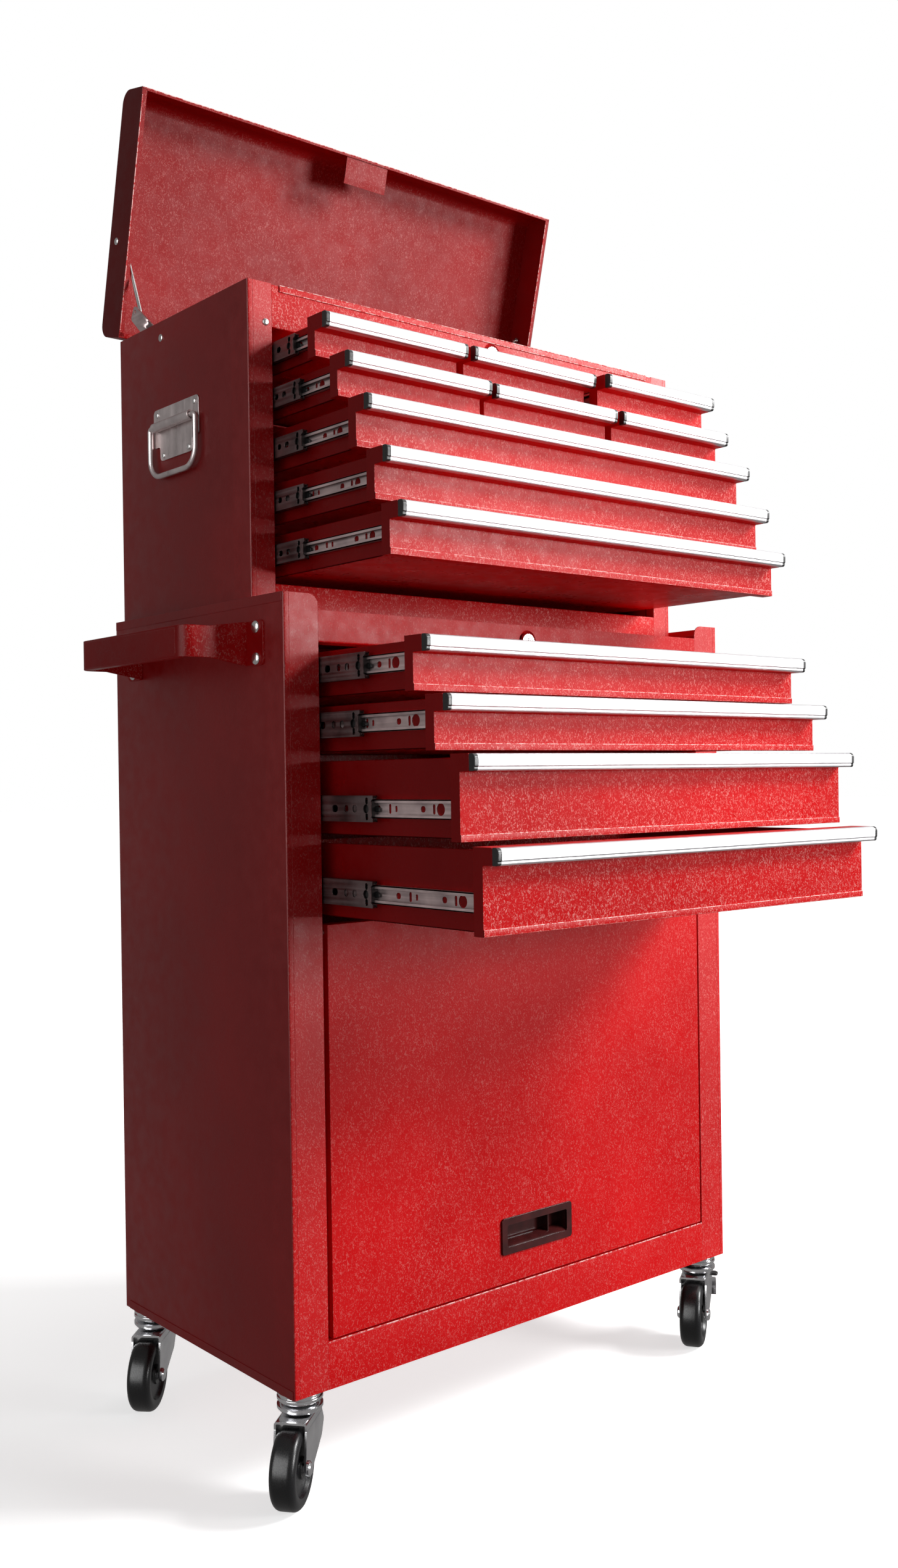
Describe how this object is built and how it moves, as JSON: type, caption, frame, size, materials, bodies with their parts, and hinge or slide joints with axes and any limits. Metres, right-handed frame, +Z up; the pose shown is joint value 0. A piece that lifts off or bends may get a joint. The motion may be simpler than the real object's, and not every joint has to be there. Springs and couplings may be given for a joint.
{
  "type": "rolling tool chest",
  "caption": "Red sheet-steel tool chest with a lift-up lid and sliding drawers, standing on a rolling cabinet with drawers, a bottom-pull door, side handles and swivel casters.",
  "frame": {"origin": "centre of the whole object's footprint (its bounding box seen from above), at the floor the wheels stand on", "axes": "+Z up, -Y towards the front where the drawers open, +X to the viewer's right when facing the front"},
  "size_m": [0.7116, 0.6139, 1.4217],
  "materials": {
    "red_paint": "glossy textured powder coat",
    "zinc_steel": "zinc plated",
    "bright_steel": "bright plated",
    "chrome": "polished",
    "brushed_aluminium": "brushed",
    "black_rubber": "satin",
    "black_plastic": "satin"
  },
  "bodies": {
    "cabinet": {"cabinet_shell": "red_paint", "cabinet_front_rails": "red_paint", "cabinet_deck": "red_paint", "cabinet_floor": "red_paint", "chest_shell": "red_paint", "chest_front_rails": "red_paint", "chest_inner_panels": "red_paint", "slide_posts": "zinc_steel", "slide_outer_members": "zinc_steel", "push_handle": "red_paint", "carry_handle_plates": "red_paint", "caster_stems": "chrome", "fasteners": "bright_steel", "lid_hinge_leaf": "zinc_steel"},
    "lid": {"lid": "red_paint", "lid_fittings": "zinc_steel"},
    "lid_stay_rods": {"lid_stay_rods": "bright_steel"},
    "lid_stay_links": {"lid_stay_links": "bright_steel"},
    "door": {"door": "red_paint", "door_pull": "black_plastic"},
    "cabinet_lock": {"cabinet_lock": "bright_steel"},
    "chest_lock": {"chest_lock": "bright_steel"},
    "bail_left": {"bail_left": "bright_steel"},
    "bail_right": {"bail_right": "bright_steel"},
    "cabinet_drawer_1": {"cabinet_drawer_1": "red_paint"},
    "cabinet_drawer_1_slides": {"cabinet_drawer_1_slides": "zinc_steel"},
    "cabinet_drawer_2": {"cabinet_drawer_2": "red_paint"},
    "cabinet_drawer_2_slides": {"cabinet_drawer_2_slides": "zinc_steel"},
    "cabinet_drawer_3": {"cabinet_drawer_3": "red_paint"},
    "cabinet_drawer_3_slides": {"cabinet_drawer_3_slides": "zinc_steel"},
    "cabinet_drawer_4": {"cabinet_drawer_4": "red_paint"},
    "cabinet_drawer_4_slides": {"cabinet_drawer_4_slides": "zinc_steel"},
    "small_drawer_upper_left": {"small_drawer_upper_left": "red_paint"},
    "small_drawer_upper_left_slides": {"small_drawer_upper_left_slides": "zinc_steel"},
    "small_drawer_upper_middle": {"small_drawer_upper_middle": "red_paint"},
    "small_drawer_upper_middle_slides": {"small_drawer_upper_middle_slides": "zinc_steel"},
    "small_drawer_upper_right": {"small_drawer_upper_right": "red_paint"},
    "small_drawer_upper_right_slides": {"small_drawer_upper_right_slides": "zinc_steel"},
    "small_drawer_lower_left": {"small_drawer_lower_left": "red_paint"},
    "small_drawer_lower_left_slides": {"small_drawer_lower_left_slides": "zinc_steel"},
    "small_drawer_lower_middle": {"small_drawer_lower_middle": "red_paint"},
    "small_drawer_lower_middle_slides": {"small_drawer_lower_middle_slides": "zinc_steel"},
    "small_drawer_lower_right": {"small_drawer_lower_right": "red_paint"},
    "small_drawer_lower_right_slides": {"small_drawer_lower_right_slides": "zinc_steel"},
    "chest_drawer_1": {"chest_drawer_1": "red_paint"},
    "chest_drawer_1_slides": {"chest_drawer_1_slides": "zinc_steel"},
    "chest_drawer_2": {"chest_drawer_2": "red_paint"},
    "chest_drawer_2_slides": {"chest_drawer_2_slides": "zinc_steel"},
    "chest_drawer_3": {"chest_drawer_3": "red_paint"},
    "chest_drawer_3_slides": {"chest_drawer_3_slides": "zinc_steel"},
    "caster_fork_front_left": {"caster_fork_front_left": "chrome"},
    "caster_wheel_front_left": {"caster_wheel_front_left": "black_rubber"},
    "caster_fork_front_right": {"caster_fork_front_right": "chrome"},
    "caster_wheel_front_right": {"caster_wheel_front_right": "black_rubber"},
    "caster_brake_front_right": {"caster_brake_front_right": "chrome"},
    "caster_fork_rear_left": {"caster_fork_rear_left": "chrome"},
    "caster_wheel_rear_left": {"caster_wheel_rear_left": "black_rubber"},
    "caster_fork_rear_right": {"caster_fork_rear_right": "chrome"},
    "caster_wheel_rear_right": {"caster_wheel_rear_right": "black_rubber"},
    "caster_brake_rear_right": {"caster_brake_rear_right": "chrome"}
  },
  "joints": [
    {"name": "lid_hinge", "type": "hinge", "parent": "cabinet", "child": "lid", "pos_m": [0.02424, 0.26854, 1.159], "axis": [-1, 0, 0], "range_deg": [-76, 0]},
    {"name": "lid_stay_link_pivot", "type": "hinge", "parent": "cabinet", "child": "lid_stay_links", "pos_m": [0.02424, 0.17454, 1.1394], "axis": [-1, 0, 0], "range_deg": [0, 29.11]},
    {"name": "lid_stay_rod_pivot", "type": "hinge", "parent": "lid", "child": "lid_stay_rods", "pos_m": [0.02424, 0.26954, 1.268], "axis": [-1, 0, 0], "range_deg": [-12.3, 0]},
    {"name": "door_hinge", "type": "hinge", "parent": "cabinet", "child": "door", "pos_m": [0.02424, -0.05346, 0.53], "axis": [-1, 0, 0], "range_deg": [0, 85]},
    {"name": "cabinet_lock_turn", "type": "hinge", "parent": "cabinet", "child": "cabinet_lock", "pos_m": [0.02424, -0.06046, 0.817], "axis": [0, 1, 0], "range_deg": [0, 90]},
    {"name": "chest_lock_turn", "type": "hinge", "parent": "cabinet", "child": "chest_lock", "pos_m": [0.03824, 0.00554, 1.138], "axis": [0, -1, 0], "range_deg": [0, 90]},
    {"name": "bail_right_swing", "type": "hinge", "parent": "cabinet", "child": "bail_right", "pos_m": [0.32974, 0.14354, 1.045], "axis": [0, -1, 0], "range_deg": [0, 90]},
    {"name": "bail_left_swing", "type": "hinge", "parent": "cabinet", "child": "bail_left", "pos_m": [-0.28126, 0.14354, 1.045], "axis": [0, 1, 0], "range_deg": [0, 90]},
    {"name": "cabinet_drawer_1_slide", "type": "slide", "parent": "cabinet", "child": "cabinet_drawer_1", "axis": [0, -1, 0], "range_m": [-0.139, 0.111]},
    {"name": "cabinet_drawer_1_slides_follow", "type": "slide", "parent": "cabinet", "child": "cabinet_drawer_1_slides", "axis": [0, -1, 0], "range_m": [-0.0837, 0.06688]},
    {"name": "cabinet_drawer_2_slide", "type": "slide", "parent": "cabinet", "child": "cabinet_drawer_2", "axis": [0, -1, 0], "range_m": [-0.1665, 0.0835]},
    {"name": "cabinet_drawer_2_slides_follow", "type": "slide", "parent": "cabinet", "child": "cabinet_drawer_2_slides", "axis": [0, -1, 0], "range_m": [-0.0747, 0.03756]},
    {"name": "cabinet_drawer_3_slide", "type": "slide", "parent": "cabinet", "child": "cabinet_drawer_3", "axis": [0, -1, 0], "range_m": [-0.199, 0.051]},
    {"name": "cabinet_drawer_3_slides_follow", "type": "slide", "parent": "cabinet", "child": "cabinet_drawer_3_slides", "axis": [0, -1, 0], "range_m": [-0.0927, 0.02391]},
    {"name": "cabinet_drawer_4_slide", "type": "slide", "parent": "cabinet", "child": "cabinet_drawer_4", "axis": [0, -1, 0], "range_m": [-0.2265, 0.0235]},
    {"name": "cabinet_drawer_4_slides_follow", "type": "slide", "parent": "cabinet", "child": "cabinet_drawer_4_slides", "axis": [0, -1, 0], "range_m": [-0.0907, 0.00959]},
    {"name": "small_drawer_upper_left_slide", "type": "slide", "parent": "cabinet", "child": "small_drawer_upper_left", "axis": [0, -1, 0], "range_m": [-0.068, 0.112]},
    {"name": "small_drawer_upper_left_slides_follow", "type": "slide", "parent": "cabinet", "child": "small_drawer_upper_left_slides", "axis": [0, -1, 0], "range_m": [-0.0502, 0.08255]},
    {"name": "small_drawer_upper_middle_slide", "type": "slide", "parent": "cabinet", "child": "small_drawer_upper_middle", "axis": [0, -1, 0], "range_m": [-0.0685, 0.1115]},
    {"name": "small_drawer_upper_middle_slides_follow", "type": "slide", "parent": "cabinet", "child": "small_drawer_upper_middle_slides", "axis": [0, -1, 0], "range_m": [-0.0502, 0.08159]},
    {"name": "small_drawer_upper_right_slide", "type": "slide", "parent": "cabinet", "child": "small_drawer_upper_right", "axis": [0, -1, 0], "range_m": [-0.0805, 0.0995]},
    {"name": "small_drawer_upper_right_slides_follow", "type": "slide", "parent": "cabinet", "child": "small_drawer_upper_right_slides", "axis": [0, -1, 0], "range_m": [-0.0522, 0.06447]},
    {"name": "small_drawer_lower_left_slide", "type": "slide", "parent": "cabinet", "child": "small_drawer_lower_left", "axis": [0, -1, 0], "range_m": [-0.103, 0.077]},
    {"name": "small_drawer_lower_left_slides_follow", "type": "slide", "parent": "cabinet", "child": "small_drawer_lower_left_slides", "axis": [0, -1, 0], "range_m": [-0.0582, 0.04356]},
    {"name": "small_drawer_lower_middle_slide", "type": "slide", "parent": "cabinet", "child": "small_drawer_lower_middle", "axis": [0, -1, 0], "range_m": [-0.0995, 0.0805]},
    {"name": "small_drawer_lower_middle_slides_follow", "type": "slide", "parent": "cabinet", "child": "small_drawer_lower_middle_slides", "axis": [0, -1, 0], "range_m": [-0.0572, 0.04632]},
    {"name": "small_drawer_lower_right_slide", "type": "slide", "parent": "cabinet", "child": "small_drawer_lower_right", "axis": [0, -1, 0], "range_m": [-0.1005, 0.0795]},
    {"name": "small_drawer_lower_right_slides_follow", "type": "slide", "parent": "cabinet", "child": "small_drawer_lower_right_slides", "axis": [0, -1, 0], "range_m": [-0.0577, 0.04569]},
    {"name": "chest_drawer_1_slide", "type": "slide", "parent": "cabinet", "child": "chest_drawer_1", "axis": [0, -1, 0], "range_m": [-0.1305, 0.0645]},
    {"name": "chest_drawer_1_slides_follow", "type": "slide", "parent": "cabinet", "child": "chest_drawer_1_slides", "axis": [0, -1, 0], "range_m": [-0.0617, 0.0306]},
    {"name": "chest_drawer_2_slide", "type": "slide", "parent": "cabinet", "child": "chest_drawer_2", "axis": [0, -1, 0], "range_m": [-0.157, 0.038]},
    {"name": "chest_drawer_2_slides_follow", "type": "slide", "parent": "cabinet", "child": "chest_drawer_2_slides", "axis": [0, -1, 0], "range_m": [-0.0617, 0.01509]},
    {"name": "chest_drawer_3_slide", "type": "slide", "parent": "cabinet", "child": "chest_drawer_3", "axis": [0, -1, 0], "range_m": [-0.178, 0.017]},
    {"name": "chest_drawer_3_slides_follow", "type": "slide", "parent": "cabinet", "child": "chest_drawer_3_slides", "axis": [0, -1, 0], "range_m": [-0.0617, 0.00607]},
    {"name": "caster_swivel_front_left", "type": "hinge", "parent": "cabinet", "child": "caster_fork_front_left", "pos_m": [-0.26176, -0.03646, 0.084], "axis": [0, 0, 1], "continuous": true},
    {"name": "caster_axle_front_left", "type": "hinge", "parent": "caster_fork_front_left", "child": "caster_wheel_front_left", "pos_m": [-0.28353, -0.05408, 0.0375], "axis": [-0.6293, 0.7771, 0], "continuous": true},
    {"name": "caster_swivel_front_right", "type": "hinge", "parent": "cabinet", "child": "caster_fork_front_right", "pos_m": [0.31024, -0.03646, 0.084], "axis": [0, 0, 1], "continuous": true},
    {"name": "caster_axle_front_right", "type": "hinge", "parent": "caster_fork_front_right", "child": "caster_wheel_front_right", "pos_m": [0.28675, -0.05171, 0.0375], "axis": [-0.5446, 0.8387, 0], "continuous": true},
    {"name": "caster_brake_pedal_front_right", "type": "hinge", "parent": "caster_fork_front_right", "child": "caster_brake_front_right", "pos_m": [0.32701, -0.02556, 0.058], "axis": [-0.5446, 0.8387, 0], "range_deg": [0, 18]},
    {"name": "caster_swivel_rear_left", "type": "hinge", "parent": "cabinet", "child": "caster_fork_rear_left", "pos_m": [-0.26176, 0.24554, 0.084], "axis": [0, 0, 1], "continuous": true},
    {"name": "caster_axle_rear_left", "type": "hinge", "parent": "caster_fork_rear_left", "child": "caster_wheel_rear_left", "pos_m": [-0.28191, 0.22609, 0.0375], "axis": [-0.6947, 0.7193, 0], "continuous": true},
    {"name": "caster_swivel_rear_right", "type": "hinge", "parent": "cabinet", "child": "caster_fork_rear_right", "pos_m": [0.31024, 0.24554, 0.084], "axis": [0, 0, 1], "continuous": true},
    {"name": "caster_axle_rear_right", "type": "hinge", "parent": "caster_fork_rear_right", "child": "caster_wheel_rear_right", "pos_m": [0.28817, 0.2283, 0.0375], "axis": [-0.6157, 0.788, 0], "continuous": true},
    {"name": "caster_brake_pedal_rear_right", "type": "hinge", "parent": "caster_fork_rear_right", "child": "caster_brake_rear_right", "pos_m": [0.326, 0.25786, 0.058], "axis": [-0.6157, 0.788, 0], "range_deg": [0, 18]}
  ],
  "couplings": [
    {"joint": "lid_stay_link_pivot", "follows": "lid_hinge", "ratio": -0.37648},
    {"joint": "lid_stay_rod_pivot", "follows": "lid_hinge", "ratio": 0.15527},
    {"joint": "cabinet_drawer_1_slides_follow", "follows": "cabinet_drawer_1_slide", "ratio": 0.60072},
    {"joint": "cabinet_drawer_2_slides_follow", "follows": "cabinet_drawer_2_slide", "ratio": 0.44745},
    {"joint": "cabinet_drawer_3_slides_follow", "follows": "cabinet_drawer_3_slide", "ratio": 0.46482},
    {"joint": "cabinet_drawer_4_slides_follow", "follows": "cabinet_drawer_4_slide", "ratio": 0.39956},
    {"joint": "small_drawer_upper_left_slides_follow", "follows": "small_drawer_upper_left_slide", "ratio": 0.73529},
    {"joint": "small_drawer_upper_middle_slides_follow", "follows": "small_drawer_upper_middle_slide", "ratio": 0.72993},
    {"joint": "small_drawer_upper_right_slides_follow", "follows": "small_drawer_upper_right_slide", "ratio": 0.64596},
    {"joint": "small_drawer_lower_left_slides_follow", "follows": "small_drawer_lower_left_slide", "ratio": 0.56311},
    {"joint": "small_drawer_lower_middle_slides_follow", "follows": "small_drawer_lower_middle_slide", "ratio": 0.57286},
    {"joint": "small_drawer_lower_right_slides_follow", "follows": "small_drawer_lower_right_slide", "ratio": 0.57214},
    {"joint": "chest_drawer_1_slides_follow", "follows": "chest_drawer_1_slide", "ratio": 0.47126},
    {"joint": "chest_drawer_2_slides_follow", "follows": "chest_drawer_2_slide", "ratio": 0.39172},
    {"joint": "chest_drawer_3_slides_follow", "follows": "chest_drawer_3_slide", "ratio": 0.34551}
  ]
}
